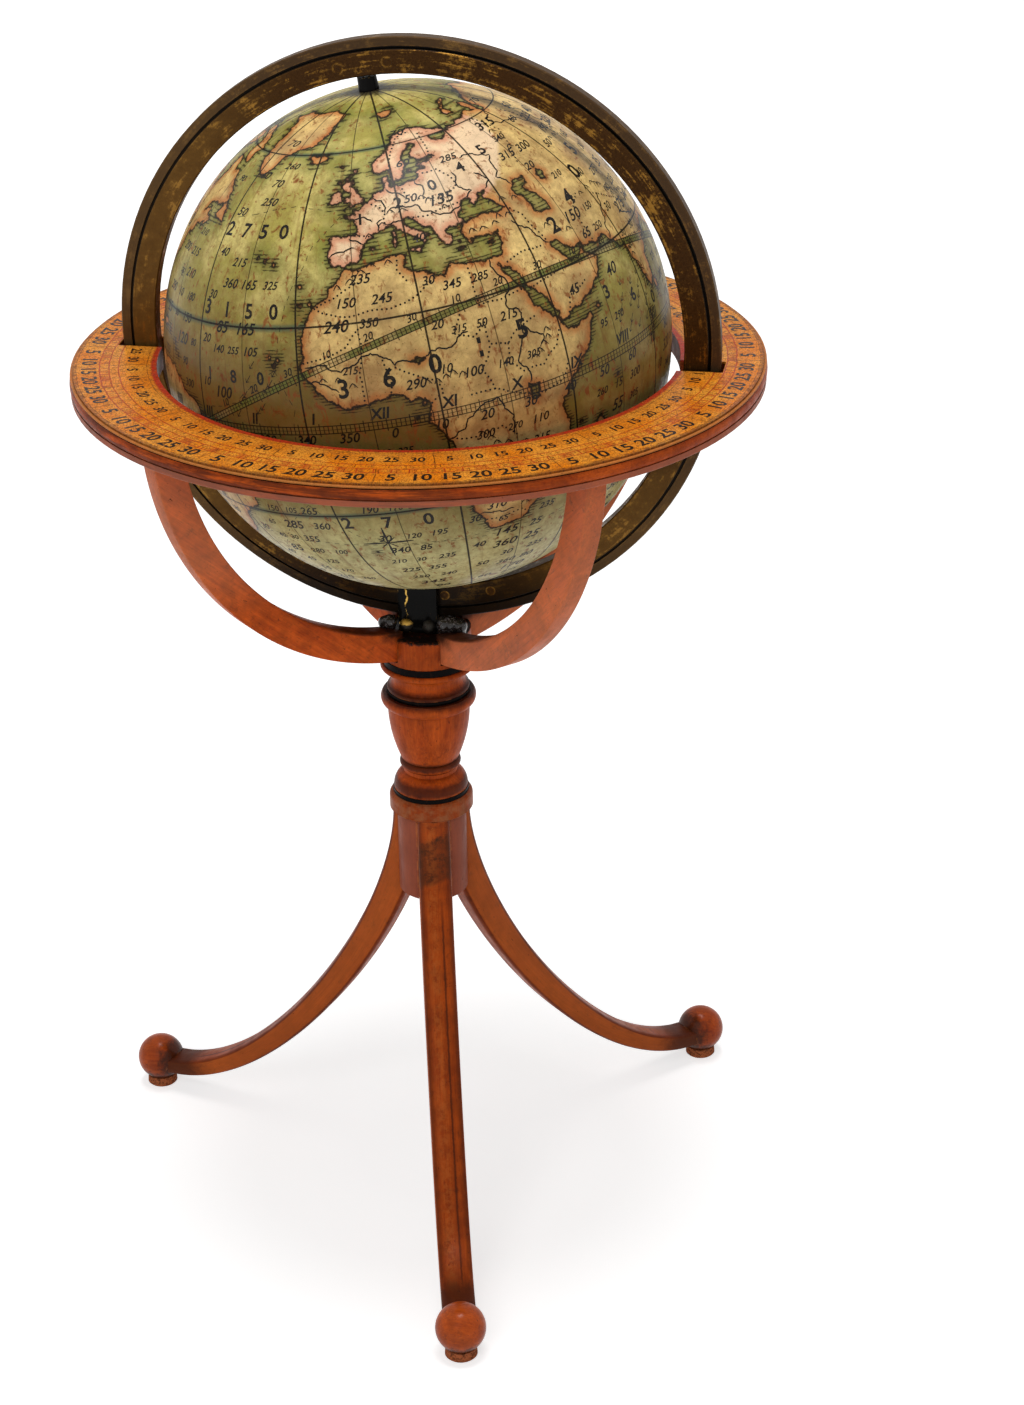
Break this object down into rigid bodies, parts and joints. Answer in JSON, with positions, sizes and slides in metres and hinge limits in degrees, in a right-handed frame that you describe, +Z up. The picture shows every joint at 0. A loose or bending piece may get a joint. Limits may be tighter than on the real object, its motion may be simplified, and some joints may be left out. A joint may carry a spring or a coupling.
{
  "type": "pocket globe on a tripod stand",
  "caption": "Small terrestrial globe in a brass meridian ring, held by a round horizon on curved arms, a turned wooden pillar and a tripod of sweeping legs.",
  "frame": {"origin": "centre of the overall box at the level of the table, under the globe and between the feet; the pillar's axis is 3.125 mm behind it", "axes": "+Z up along the pillar, -Y towards the front foot, +X to the right as the globe faces the viewer"},
  "size_m": [0.0964, 0.1026, 0.177],
  "materials": {
    "varnished_map": "yellowed varnish over hand-coloured engraved paper on thin plaster",
    "paper_pulp": "matt moulded paper pulp",
    "plain_wood": "bare turned wood",
    "steel": "dull drawn wire",
    "black_japan": "glossy black japanning, worn to brass on the edges",
    "aged_brass": "old brown-gold patina, satin",
    "bright_brass": "worn bright brass",
    "stained_wood": "reddish-brown stain under satin varnish",
    "varnished_paper": "amber varnish over printed paper, finely crazed",
    "black_wax": "glassy black wax",
    "black_stringing": "ebonised wood",
    "dark_pad": "rough stained wood with dark edges"
  },
  "bodies": {
    "stand": {"horizon_ring": "stained_wood", "horizon_paper": "varnished_paper", "arm_front_left": "stained_wood", "arm_front_right": "stained_wood", "arm_back_right": "stained_wood", "arm_back_left": "stained_wood", "arm_dowels": "plain_wood", "horizon_pegs": "plain_wood", "head_boss": "stained_wood", "ring_fork": "black_japan", "fork_rest_pins": "bright_brass", "fork_wax": "black_wax", "vase_pillar": "stained_wood", "leg_block": "stained_wood", "boss_line": "black_stringing", "bead_line": "black_stringing", "collar_line": "black_stringing", "leg_front": "stained_wood", "leg_right": "stained_wood", "leg_left": "stained_wood", "ball_front": "stained_wood", "ball_right": "stained_wood", "ball_left": "stained_wood", "pad_front": "dark_pad", "pad_right": "dark_pad", "pad_left": "dark_pad"},
    "meridian": {"meridian_ring": "aged_brass", "north_pivot_block": "aged_brass", "south_pivot_block": "aged_brass", "north_rivets": "aged_brass", "south_rivets": "aged_brass"},
    "globe": {"globe_map": "varnished_map", "globe_north_shell": "paper_pulp", "globe_south_shell": "paper_pulp", "globe_axle": "plain_wood", "north_pole_pin": "steel", "south_pole_pin": "steel", "north_pole_collar": "black_japan", "south_pole_collar": "black_japan"}
  },
  "joints": [
    {"name": "meridian_turn", "type": "hinge", "parent": "stand", "child": "meridian", "pos_m": [0, 0.00313, 0.13493], "axis": [-0.2419, -0.9703, 0], "continuous": true},
    {"name": "globe_spin", "type": "hinge", "parent": "meridian", "child": "globe", "pos_m": [0, 0.00313, 0.13493], "axis": [-0.1601, 0.0399, 0.9863], "continuous": true}
  ]
}
